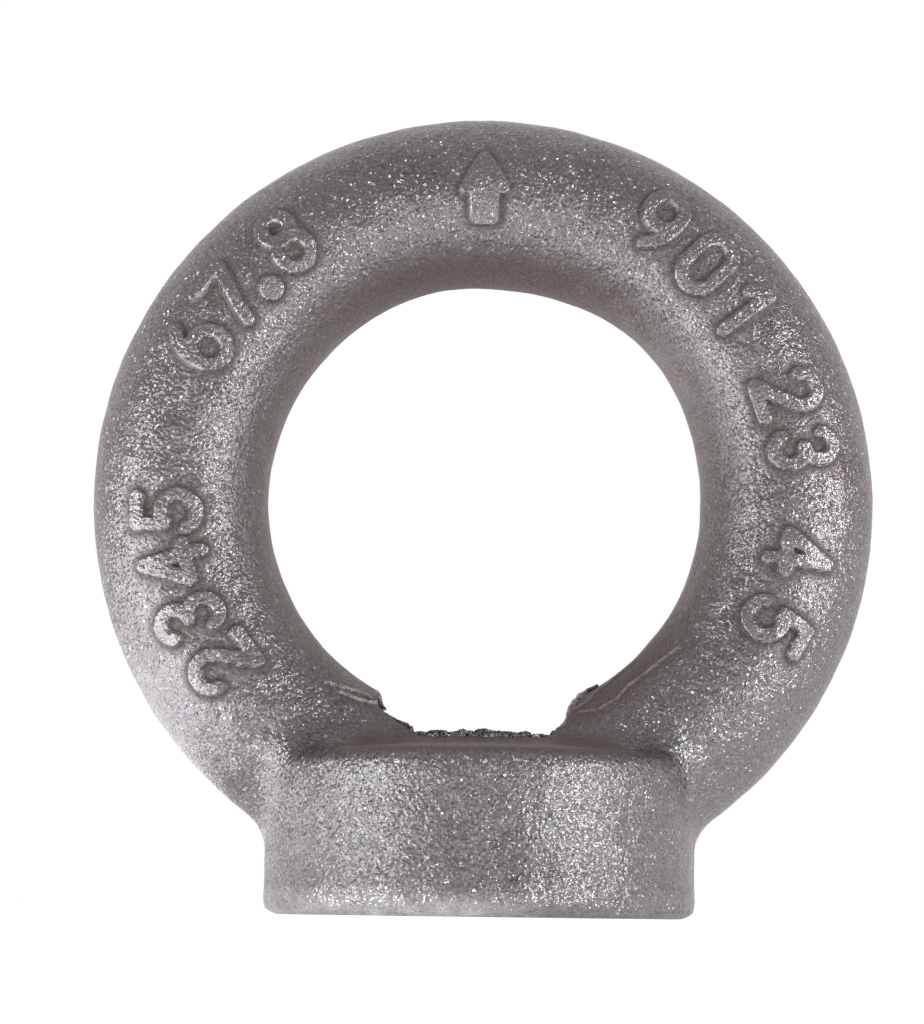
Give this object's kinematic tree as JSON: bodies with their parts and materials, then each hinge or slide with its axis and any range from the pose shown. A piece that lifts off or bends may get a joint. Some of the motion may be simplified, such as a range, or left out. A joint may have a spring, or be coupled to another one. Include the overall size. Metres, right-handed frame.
{
  "type": "lifting eye nut",
  "caption": "Forged lifting eye nut: a round ring on a short collar with a metric thread through its base, for screwing onto a stud as a lifting point.",
  "frame": {"origin": "on the thread's axis, in the plane of the seat that bears on the load", "axes": "+Z along the thread, from the seat towards the ring; the ring lies in the XZ plane, so the eye opens along Y"},
  "size_m": [0.072, 0.039, 0.074],
  "materials": {
    "forged_steel": "shot-blasted forging, uncoated"
  },
  "bodies": {
    "root": {"eye_nut": "forged_steel"}
  },
  "joints": []
}
